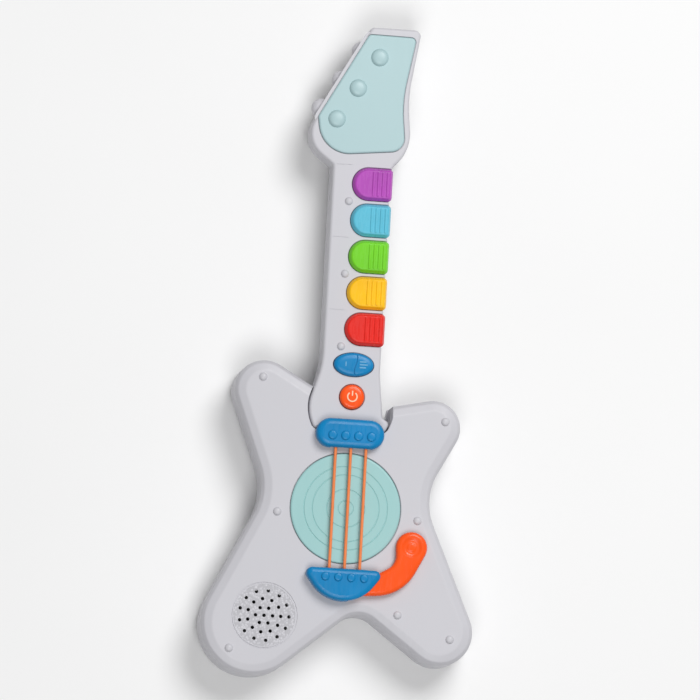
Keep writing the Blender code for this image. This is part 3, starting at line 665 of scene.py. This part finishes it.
def cut_front_seats(shell):
    """Neck pocket and disc seat with eased edges, slots for the strings and the peg, and screw bores."""
    cut(shell, belted(POCKET, ((0.0, 10.0), (0.0, BODY_FACE - 0.45), (-0.35, BODY_FACE), (-0.5, ABOVE))))
    wall = DISC_RADIUS + 0.45
    rim = wall + 0.4
    cut(shell, turned(*DISC_MIDDLE, ((0.0, PLATE_SEAT), (wall, PLATE_SEAT), (wall, BODY_FACE - 0.4),
                                     (rim, BODY_FACE + 0.05), (rim, ABOVE), (0.0, ABOVE)), 128))
    half_slot = 1.5
    slots = [block(*STRING_SLOT, y - half_slot, y + half_slot, INSIDE, ABOVE) for y in STRING_ENDS]
    peg_x, peg_y = WHAMMY_PEG
    slots.append(block(peg_x - 2.2, peg_x + 2.2, peg_y - 3.6, peg_y + 3.6, INSIDE, ABOVE))
    cut(shell, rod(*PIVOT, PIVOT_BORE, 20.0, ABOVE), *slots, *screw_bores(BODY_SCREWS, BODY_BORE, 10.0, 32.0))


def cut_grille(shell):
    """Sunk round field with a fine groove round it and rings of holes in it."""
    cut(shell, turned(*SPEAKER, ((21.0, 37.5), (21.9, 37.5), (22.1, ABOVE), (20.8, ABOVE)), 96))
    cut(shell, turned(*SPEAKER, ((0.0, FIELD_Z), (FIELD_RADIUS, FIELD_Z), (FIELD_RADIUS + 0.2, ABOVE),
                                 (0.0, ABOVE)), 96))
    holes = [place for radius, count in GRILLE_RINGS for place in circle(*SPEAKER, radius, count)]
    cut(shell, *[rod(x, y, GRILLE_HOLE, INSIDE, ABOVE, 16) for x, y in holes])


def texture_and_shade_grille(shell):
    """Gives the flat faces of the grille's field their own material, which has painted light on its dots and
    painted shade between them.
    """
    shell.data.materials.append(SHADED_GRILLE)
    for face in shell.data.polygons:
        place = (face.center - ORIGIN) / MM
        flat = face.normal.z > 0.9 and abs(place.z - FIELD_Z) < 0.1
        if flat and (place.xy - Vector(SPEAKER)).length < FIELD_RADIUS + 0.3:
            face.material_index = 1


def front_of_body():
    foot = BODY_PARTING + GAP
    inner = ((WALL + 6.0, BODY_FACE - WALL), (WALL, 32.0), (WALL, foot))
    outer = soften(((0.5, foot), (0.0, foot + 0.6), (0.0, 33.2), (2.0, 36.2), (7.0, BODY_FACE),
                    (9.0, BODY_FACE)), 0.8)
    shell = belted(BODY, inner + tuple(outer), "front_shell")
    grow_front_roots(shell)
    cut_front_seats(shell)
    cut_grille(shell)
    show(shell, "guitar", WHITE, "shell_white", "body_front_shell")
    texture_and_shade_grille(shell)


def door_rectangle(inset):
    low, high = span_of("battery_door")
    return rectangle(low.x + inset, high.x - inset, low.y + inset, high.y - inset)


def grow_back_roots(shell):
    """Walls of the neck pocket, the notch and the battery bay, ledge round the door, and screw bosses."""
    wall = 2.0
    ledge = 2.5
    well_boss_radius = 5.2
    left, right, low, high = NOTCH
    notch_block = block(left - wall, right + wall, low - wall, high - 5.0, -1.0, INSIDE)
    for root in (prism(belt(POCKET, -WALL), 9.0, INSIDE), notch_block):
        core = belted(BODY, ((0.6, 18.2), (0.6, 8.2), (3.4, 3.6), (8.6, 0.8)))
        add(shell, keep_inside(root, core))
    left, right, low, high = BAY
    add(shell, block(left - wall, right + wall, low - wall, high + wall, BACK_ROOT, BAY_CEILING + wall))
    add(shell, prism(door_rectangle(-ledge), BACK_ROOT, 5.6),
        *[rod(x, y, well_boss_radius, BACK_ROOT, BODY_PARTING - GAP) for x, y in BODY_SCREWS])
    add(shell, rod(*DOOR_SCREW, BOSS_RADIUS, 4.0, 11.5))


def cut_back_seats(shell):
    """Neck pocket and notch, relief round the heel, seat of the door, battery bay, screw wells and bores."""
    cut(shell, prism(belt(POCKET), POCKET_FLOOR, ABOVE))
    cut(shell, block(*NOTCH, BELOW, ABOVE))
    cut(shell, rod(HEEL[0], HEEL[1], HEEL[2] + 5.4, BODY_PARTING - 0.4, INSIDE, 96))
    cut(shell, stacked(door_rectangle, ((-GAP - 0.6, BELOW), (-GAP - 0.4, 0.0), (-GAP, 0.45), (-GAP, 2.5))))
    cut(shell, block(*BAY, BELOW, BAY_CEILING), rod(*DOOR_SCREW, DOOR_BORE, BELOW, 9.5))
    well = ((0.0, BELOW), (4.2, BELOW), (4.0, 0.0), (3.4, 0.6), (3.4, 12.3), (0.0, 12.3))
    cut(shell, *[turned(x, y, well, 32) for x, y in BODY_SCREWS])
    cut(shell, *screw_bores(BODY_SCREWS, BODY_BORE, 5.0, INSIDE))


def back_of_body():
    lip = ((WALL, 15.0), (4.2, 20.8), (2.5, 20.8), (2.5, BODY_PARTING))
    outer = soften(((0.5, BODY_PARTING), (0.0, BODY_PARTING - 0.6), (0.0, 8.0), (2.6, 3.0), (8.0, 0.0),
                    (10.0, 0.0)), 2.0)
    shell = belted(BODY, ((9.5, WALL), (WALL, 8.2)) + lip + tuple(outer), "back_shell")
    grow_back_roots(shell)
    cut_back_seats(shell)
    show(shell, "guitar", WHITE, "shell_white", "body_rear_shell")


def ring_line(profile, radius, depth=0.45, half=0.38):
    """A profile that runs inwards over a flat top, with a fine engraved ring."""
    top = profile[-1][1]
    floor_half = 0.4 * half
    return profile + [(radius + half, top), (radius + floor_half, top - depth),
                      (radius - floor_half, top - depth), (radius - half, top)]


def disc():
    foot = PLATE_SEAT + GAP
    top = 38.6
    profile = soften(((0.0, foot), (DISC_RADIUS, foot), (DISC_RADIUS, top - 0.5), (DISC_RADIUS - 0.9, top),
                      (DISC_RADIUS - 3.0, top)), 0.5)
    for radius in DISC_LINES:
        profile = ring_line(profile, radius)
    profile.append((0.0, top))
    cover = turned(*DISC_MIDDLE, profile, 160, "sound_disc_cover")
    show(cover, "guitar", MINT, "accent_mint", "sound_disc")


def stud(x, y, radius, base):
    """Round stud with a crisp foot and a crowned top."""
    root = base - ROOT
    profile = soften(((0.0, root), (radius, root), (radius, base + 0.4 * STUD_HEIGHT),
                      (0.78 * radius, base + 0.9 * STUD_HEIGHT), (0.4 * radius, base + STUD_HEIGHT),
                      (0.0, base + STUD_HEIGHT)), 0.5)
    return turned(x, y, profile, 48)


def pickup():
    top = 46.2
    outer = soften(((0.35, COVER_FOOT), (0.0, COVER_FOOT + 0.4), (0.0, top - 3.0), (1.1, top - 0.9),
                    (3.6, top), (5.0, top)), 1.2)
    inner = ((4.2, top - 2.0), (WALL, top - 3.8), (WALL, COVER_FOOT))
    cover = belted(PICKUP, inner + tuple(outer), "pickup_cap")
    stud_y = 47.2
    stud_radius = 3.1
    add(cover, *[stud(x, stud_y, stud_radius, top) for x in STUD_X])
    cut(cover, block(*STRING_MOUTH, 37.0, 43.0, UNDER_COVERS, MOUTH_TOP))
    show(cover, "guitar", BLUE, "accent_blue", "pickup_cover")


def bridge():
    top = 47.2
    ceiling = 44.9
    outer = soften(((0.3, COVER_FOOT), (0.0, COVER_FOOT + 0.4), (0.0, top - 2.6), (1.0, top - 0.8),
                    (3.2, top), (3.9, top)), 1.0)
    cover = belted(BRIDGE, ((WALL, ceiling), (WALL, COVER_FOOT)) + tuple(outer), "bridge_cap")
    stud_y = -46.0
    stud_radius = 2.8
    add(cover, *[stud(x, stud_y, stud_radius, top) for x in STUD_X])
    cut(cover, block(*STRING_MOUTH, -45.0, -35.0, UNDER_COVERS, MOUTH_TOP))
    whammy_mouths = ((16.6, 40.0, -66.0, -35.0), (4.0, 30.0, -66.0, -50.0))
    for mouth in whammy_mouths:
        cut(cover, block(*mouth, UNDER_COVERS, ceiling))
    show(cover, "guitar", BLUE, "accent_blue", "bridge_cover")


# ---------------------------------------------------------------- neck

def key_circles(y, right=KEY_RIGHT, corner=2.2):
    """D shape: a round left end and a square right end with small corners."""
    return (
        (right - corner, y - KEY_RADIUS + corner, corner),
        (right - corner, y + KEY_RADIUS - corner, corner),
        (KEY_LEFT + KEY_RADIUS, y, KEY_RADIUS),
    )


def grow_neck_roots(shell):
    """Bed of the head plate, screw bosses, tuner lobes and position dots."""
    bed_margin = 2.2
    neck_boss_radius = 2.9
    dot_radius = 2.6
    foot = NECK_PARTING + GAP
    add(shell, prism(belt(HEAD_PLATE, -bed_margin), 33.8, 36.2))
    add(shell, *[rod(x, y, neck_boss_radius, NECK_PARTING + 0.6, 35.6) for x, y in NECK_SCREWS])
    lobe = soften(((0.0, foot), (TUNER_RADIUS - 1.6, foot), (TUNER_RADIUS, 26.8), (TUNER_RADIUS, 30.6),
                   (TUNER_RADIUS - 2.6, 33.0), (0.0, 33.4)), 1.8)
    add(shell, *[turned(x, y, lobe, 48) for x, y in TUNERS])
    add(shell, *[dome(x, y, dot_radius, NECK_FACE) for x, y in NECK_DOTS])


def cut_neck_seats(shell):
    """Seats of the plate, keys, power button and rocker with eased edges, fret lines and screw bores."""
    lip = NECK_FACE + 0.05
    cut(shell, belted(HEAD_PLATE, ((-SEAT_GAP, PLATE_SEAT), (-SEAT_GAP, 36.7), (-0.6, lip), (-0.7, ABOVE))))
    outwards = Vector((-6.0, 3.3))
    low_end, high_end = [Vector(point) for point in PLATE_LEFT_SIDE]
    cut(shell, prism((low_end, high_end, high_end + outwards, low_end + outwards), PLATE_SEAT + 0.05, ABOVE))
    key_steps = ((-SEAT_GAP, 29.2), (-SEAT_GAP, 36.6), (-0.75, lip), (-0.8, ABOVE))
    cut(shell, *[belted(key_circles(y, KEY_RIGHT + 8.0), key_steps) for y in KEY_Y])
    power_wall = POWER_RADIUS + SEAT_GAP
    power_rim = POWER_RADIUS + 0.8
    power_seat = ((0.0, INSIDE), (power_wall, INSIDE), (power_wall, 36.5), (power_rim, lip),
                  (power_rim, ABOVE), (0.0, ABOVE))
    rocker_seat = ellipse(*ROCKER, ROCKER_HALF[0] + 0.5, ROCKER_HALF[1] + SEAT_GAP)
    cut(shell, turned(*POWER, power_seat, 64), prism(rocker_seat, INSIDE, ABOVE))
    half_line = 0.22
    line_floor = NECK_FACE - 0.25
    cut(shell, *[block(*FRET_SPAN, y - half_line, y + half_line, line_floor, ABOVE) for y in FRET_LINES])
    cut(shell, *screw_bores(NECK_SCREWS, NECK_BORE, 20.0, 33.0))


def front_of_neck():
    foot = NECK_PARTING + GAP
    inner = ((NECK_WALL, NECK_FACE - NECK_WALL), (NECK_WALL, foot))
    outer = soften(((0.4, foot), (0.0, foot + 0.5), (0.0, 35.2), (0.6, 36.5), (1.6, NECK_FACE),
                    (2.4, NECK_FACE)), 0.6)
    shell = belted(NECK, inner + tuple(outer), "neck_face")
    grow_neck_roots(shell)
    cut_neck_seats(shell)
    show(shell, "guitar", WHITE, "shell_white", "neck_front_shell")


def back_of_neck():
    inner = ((NECK_WALL, NECK_BACK + NECK_WALL), (NECK_WALL, NECK_PARTING))
    outer = soften(((0.4, NECK_PARTING), (0.0, NECK_PARTING - 0.5), (0.0, 15.0), (0.8, 12.9),
                    (2.0, NECK_BACK), (2.4, NECK_BACK)), 1.0)
    shell = belted(NECK, inner + tuple(outer), "neck_back")
    well_boss_radius = 4.0
    add(shell, *[rod(x, y, well_boss_radius, NECK_BACK + 1.0, NECK_PARTING) for x, y in NECK_SCREWS])
    well = ((0.0, 5.0), (3.2, 5.0), (3.0, NECK_BACK), (2.6, NECK_BACK + 0.5), (2.6, 18.0), (0.0, 18.0))
    cut(shell, *[turned(x, y, well, 32) for x, y in NECK_SCREWS])
    cut(shell, *screw_bores(NECK_SCREWS, NECK_BORE, 10.0, INSIDE))
    show(shell, "guitar", WHITE, "shell_white", "neck_rear_shell")


def head_plate():
    top = 38.0
    steps = soften(((0.0, PLATE_SEAT + GAP), (0.0, top - 0.6), (0.9, top), (1.6, top)), 0.5)
    plate = belted(HEAD_PLATE, steps, "head_plate")
    root = top - ROOT
    bump = soften(((0.0, root), (5.9, root), (5.7, 38.5), (4.6, 39.7), (2.8, 40.3), (0.0, 40.5)), 1.2)
    add(plate, *[turned(x, y, bump, 48) for x, y in PLATE_DOMES])
    show(plate, "guitar", PALE_MINT, "accent_mint", "headstock_plate")


# ---------------------------------------------------------------- controls

def fret_key(name, y):
    """Key with sloping shoulders and four ribs that run along the neck."""
    steps = soften(((0.0, KEY_FOOT), (0.0, 37.3), (1.5, 40.0), (2.3, KEY_TOP), (2.5, KEY_TOP)), 0.35)
    key = belted(key_circles(y, corner=2.6), steps, "key_cap_" + name)
    half_rib = 7.4
    rib_radius = 0.85
    for x in RIB_X:
        run = ((x, y - half_rib, rib_radius), (x, y + half_rib, rib_radius))
        add(key, belted(run, ((0.0, 39.4), (0.0, 40.6), (0.2, 40.9), (0.5, 41.0))))
    show(key, "key_" + name, KEY_FINISH[name], "key_" + name, "fret_key_" + name)


def power():
    """Round button with a raised print: an open ring and a bar in its opening."""
    profile = soften(((0.0, KEY_FOOT), (POWER_RADIUS, KEY_FOOT), (POWER_RADIUS, 38.4),
                      (POWER_RADIUS - 1.2, 39.4), (5.2, 39.65), (0.0, 39.7)), 1.2)
    show(turned(*POWER, profile, 72, "power_cap"), "power", ORANGE, "accent_orange", "power_button")
    x, y = POWER
    ring_radius = 3.1
    half = 0.42
    opening = 38
    print_z = (39.5, 39.85)
    sweep = [math.radians(90 + opening + (360 - 2 * opening) * i / 40) for i in range(41)]
    outer, inner = [[(x + radius * math.cos(angle), y + radius * math.sin(angle)) for angle in sweep]
                    for radius in (ring_radius + half, ring_radius - half)]
    ring = prism(outer + inner[::-1], *print_z)
    bar = prism(belt(((x, y + 0.9, half), (x, y + 3.6, half))), *print_z)
    show(joined("power_symbol", [ring, bar]), "power", PEACH, "accent_orange")


def rocker():
    """Oval cap with a wavy groove across it, a tick on its left and three bars on its right."""
    x, y = ROCKER
    half_x, half_y = ROCKER_HALF
    top = 40.0
    steps = soften(((1.0, 31.2), (0.0, 33.0), (0.0, 38.2), (1.2, 39.6), (3.6, top), (5.0, top)), 1.0)
    cap = stacked(lambda inset: ellipse(x, y, half_x - inset, half_y - inset), steps, "rocker_cap")
    wave = [(x + 1.2 + 0.9 * math.sin(math.pi * t / 8.0), y + t) for t in range(-9, 10)]
    half_groove = 0.4
    groove = [(wave_x - half_groove, wave_y) for wave_x, wave_y in wave]
    groove += [(wave_x + half_groove, wave_y) for wave_x, wave_y in reversed(wave)]
    cut(cap, prism(groove, top - 1.0, ABOVE))
    show(cap, "mode", BLUE, "accent_blue", "mode_rocker")
    bar_rows = [(y + 1.9 * row, x + 8.6 - abs(row)) for row in (-1, 0, 1)]
    runs = [((x + 4.0, bar_y, 0.45), (bar_end, bar_y, 0.45)) for bar_y, bar_end in bar_rows]
    runs.append(((x - 5.4, y - 1.2, 0.4), (x - 5.4, y + 1.2, 0.4)))
    marks = [belted(run, ((0.0, 39.7), (0.0, 40.1), (0.2, 40.25))) for run in runs]
    show(joined("rocker_marks", marks), "mode", PALE_BLUE, "accent_blue")


def string_points(x):
    """Foot, rounded corner, span, rounded corner and foot of one string."""
    bend = 2.0
    span_z = 42.0
    foot_z = 33.0
    angles = [math.radians(10 * step) for step in range(10)]
    upper, lower = [[(x, y - side * (bend - bend * math.cos(angle)), span_z - bend + bend * math.sin(angle))
                     for angle in angles] for y, side in zip(STRING_ENDS, (1, -1))]
    return [(x, STRING_ENDS[0], foot_z)] + upper + lower[::-1] + [(x, STRING_ENDS[1], foot_z)]


def strings():
    string_radius = 1.0
    for index, x in enumerate(STRING_X, 1):
        piece = tube(string_points(x), string_radius, "strum_string_%d" % index)
        show(piece, "strum", STRING_ORANGE, "accent_orange", "string_%d" % index)


def strum_springs():
    """Coiled springs between the shell's posts and the carriage, which in the toy shorten as the strings are
    pushed; here they are built at one fixed length.
    """
    turns = 7
    points_per_turn = 16
    wire = 0.3
    total = turns * points_per_turn
    for side in ("left", "right"):
        node = "strum_spring_" + side
        low, high = span_of(node)
        centre = (low + high) / 2
        coil_radius = (high.y - low.y) / 2 - wire
        points = []
        for i in range(total + 1):
            angle = math.tau * i / points_per_turn
            points.append((low.x + wire + (high.x - low.x - 2 * wire) * i / total,
                           centre.y + coil_radius * math.cos(angle),
                           centre.z + coil_radius * math.sin(angle)))
        spring = show(tube(points, wire, "strum_coil_" + side, 8), "guitar", STEEL, "steel", node, sharp=60.0)
        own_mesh(spring)


def whammy():
    """Curved lever with a dished round head, a sunk seat for its screw and a peg into the body."""
    steps = soften(((0.8, 39.0), (0.0, 40.0), (0.0, 42.4), (0.9, 43.9), (2.5, 44.5), (2.7, 44.5)), 1.3)
    bar = belted(WHAMMY, steps, "whammy_lever")
    peg_radius = 1.5
    seat_radius = 3.5
    clear = 50.0
    add(bar, rod(*WHAMMY_PEG, peg_radius, 31.0, 40.0))
    dish = soften(((0.0, 44.2), (2.4, 44.1), (3.0, 43.7), (4.6, 43.6), (5.8, 44.1), (7.2, 44.7), (7.2, clear),
                   (0.0, clear)), 0.6)
    cut(bar, rod(*PIVOT, seat_radius, 42.4, clear), turned(*WHAMMY_HEAD, dish, 64))
    cut(bar, rod(*PIVOT, PIVOT_BORE, INSIDE, clear))
    show(bar, "whammy", ORANGE, "accent_orange", "whammy_bar")


# ---------------------------------------------------------------- back

def battery_door():
    """Lid with an eased edge, two ribs inside, grip grooves and a sunk screw seat."""
    door = stacked(door_rectangle, ((0.5, 0.0), (0.12, 0.12), (0.0, 0.5), (0.0, 2.2)), "battery_lid")
    half_rib = 0.6
    add(door, *[block(x - half_rib, x + half_rib, -26.0, 16.0, 2.0, 4.0) for x in (-23.2, 23.2)])
    half_grip = 8.0
    grip_radius = 0.5
    grip_pitch = 2.2
    first_grip_y = span_of("battery_door")[0].y + 3.0
    grips = []
    for i in range(4):
        y = first_grip_y + grip_pitch * i
        grips.append(prism(belt(((-half_grip, y, grip_radius), (half_grip, y, grip_radius))), -1.0, 0.7))
    seat = ((0.0, -1.0), (3.5, -1.0), (3.2, 0.3), (3.2, 1.2), (0.0, 1.2))
    cut(door, turned(*DOOR_SCREW, seat, 32), *grips)
    cut(door, rod(*DOOR_SCREW, DOOR_BORE, 0.0, 4.0))
    show(door, "battery_cover", WHITE, "shell_white", "battery_door")


def screw(node, body, facing_up=False):
    """Pan-head screw with a cross recess and a ringed thread, inside the CAD screw's box."""
    low, high = span_of(node)
    x, y = place_of(node)
    head = (high.x - low.x) / 2
    shank = 0.42 * head
    pitch = 1.1
    depth = min(2.0, 0.12 * (high.z - low.z) + 0.6)
    top, tip, way = (high.z, low.z, -1) if facing_up else (low.z, high.z, 1)
    profile = [(0.0, top), (0.55 * head, top), (0.85 * head, top + way * 0.25 * depth),
               (head, top + way * 0.6 * depth), (head, top + way * depth), (shank, top + way * depth)]
    turns = max(3, int((abs(tip - top) - depth - 1.0) / pitch))
    for i in range(turns):
        z = top + way * (depth + 0.4 + pitch * i)
        profile += [(0.8 * shank, z), (shank, z + way * pitch / 2)]
    profile += [(0.7 * shank, tip - way * 0.6), (0.0, tip)]
    made = turned(x, y, profile, 24, "screw_" + node)
    arm = 0.52 * head
    half = 0.3
    recess_z = sorted((top - way, top + way * 0.5 * depth))
    cross = block(x - arm, x + arm, y - half, y + half, *recess_z)
    add(cross, block(x - half, x + half, y - arm, y + arm, *recess_z))
    cut(made, cross)
    show(made, body, STEEL, "steel", node, sharp=40.0)


def screws():
    for i in range(1, 8):
        screw("body_screw_%d" % i, "guitar")
    for i in range(1, 6):
        screw("neck_screw_%d" % i, "guitar")
    screw("battery_door_screw", "battery_cover")
    screw("whammy_pivot_screw", "guitar", facing_up=True)


def works():
    """Finishes for the inner CAD nodes, which keep their own meshes."""
    finishes = (
        (rubber("black_plastic", (0.02, 0.02, 0.02), 0.5),
         ("strum_carriage", "strum_switch", "whammy_sensor", "speaker_magnet")),
        (board("circuit_board"), ("main_board", "neck_board")),
        (rubber("silicone_mat", (0.5, 0.5, 0.48)), ("key_mat", "button_mat")),
        (cone_paper("cone_paper"), ("speaker_cone",)),
        (cell_wrap("cell_wrap"), ("battery_1", "battery_2", "battery_3")),
        (rubber("lead_jacket", (0.05, 0.05, 0.055), 0.45), ("neck_cable", "speaker_lead", "battery_lead")),
        (STEEL, ("speaker_frame", "speaker_screw_1", "speaker_screw_2", "battery_contact_upper",
                 "battery_contact_lower", "battery_spring_1", "battery_spring_2", "battery_spring_3",
                 "whammy_return_spring")),
    )
    for finish_material, names in finishes:
        for name in names:
            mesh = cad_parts[name].data
            mesh.materials.clear()
            mesh.materials.append(finish_material)


# ---------------------------------------------------------------- floor, light and camera

def lay_floor():
    half = 4.0
    drop = 0.0002
    bm = bmesh.new()
    corners = [bm.verts.new((x, y, -drop)) for x, y in rectangle(-half, half, -half, half)]
    bm.faces.new(corners)
    ground = finish("floor", bm)
    ground.data.materials.append(floor_paint("floor_paint"))


def softbox(name, place, size, power_watts, target):
    light = bpy.data.lights.new(name, "AREA")
    light.shape = "DISK"
    light.size = size
    light.energy = power_watts
    made = bpy.data.objects.new(name, light)
    bpy.context.scene.collection.objects.link(made)
    made.location = place
    made.rotation_euler = (target - made.location).to_track_quat("-Z", "Y").to_euler()


def light_scene(target):
    softbox("key_light", Vector((0.6, 1.05, 1.9)), size=1.3, power_watts=34.0, target=target)
    softbox("fill_light", Vector((-0.1, -0.95, 2.0)), size=1.2, power_watts=19.5, target=target)
    world = bpy.data.worlds.new("studio")
    world.use_nodes = True
    background = world.node_tree.nodes["Background"]
    background.inputs["Color"].default_value = (1.0, 1.0, 1.0, 1.0)
    background.inputs["Strength"].default_value = 0.2
    bpy.context.scene.world = world
    bpy.context.scene.view_settings.view_transform = "Standard"
    bpy.context.scene.view_settings.look = "None"


def aim_camera(target):
    """Looks down on the face from a little to the left and to the tail, with the neck leaning right."""
    tilt_left = math.radians(6.5)
    tilt_tail = math.radians(6.5)
    lean = math.radians(3.1)
    distance = 7.0
    frame_height = 0.459
    back = Vector((-math.tan(tilt_left), -math.tan(tilt_tail), 1.0)).normalized()
    neck = (Vector((0.0, 1.0, 0.0)) - back * back.y).normalized()
    side = neck.cross(back)
    up = neck * math.cos(lean) - side * math.sin(lean)
    right = side * math.cos(lean) + neck * math.sin(lean)
    data = bpy.data.cameras.new("camera")
    data.sensor_width = 36.0
    data.lens = data.sensor_width * distance / frame_height
    data.clip_end = 20.0
    camera = bpy.data.objects.new("camera", data)
    bpy.context.scene.collection.objects.link(camera)
    turn = Matrix((right, up, back)).transposed().to_4x4()
    camera.matrix_world = Matrix.Translation(target + back * distance) @ turn
    bpy.context.scene.camera = camera


front_of_body()
back_of_body()
disc()
pickup()
bridge()
front_of_neck()
back_of_neck()
head_plate()
for key_name, key_y in zip(KEY_NAMES, KEY_Y):
    fret_key(key_name, key_y)
power()
rocker()
strings()
strum_springs()
whammy()
battery_door()
screws()
works()

view_target = in_metres((-2.4, 104.6, 36.0))
lay_floor()
light_scene(view_target)
aim_camera(view_target)
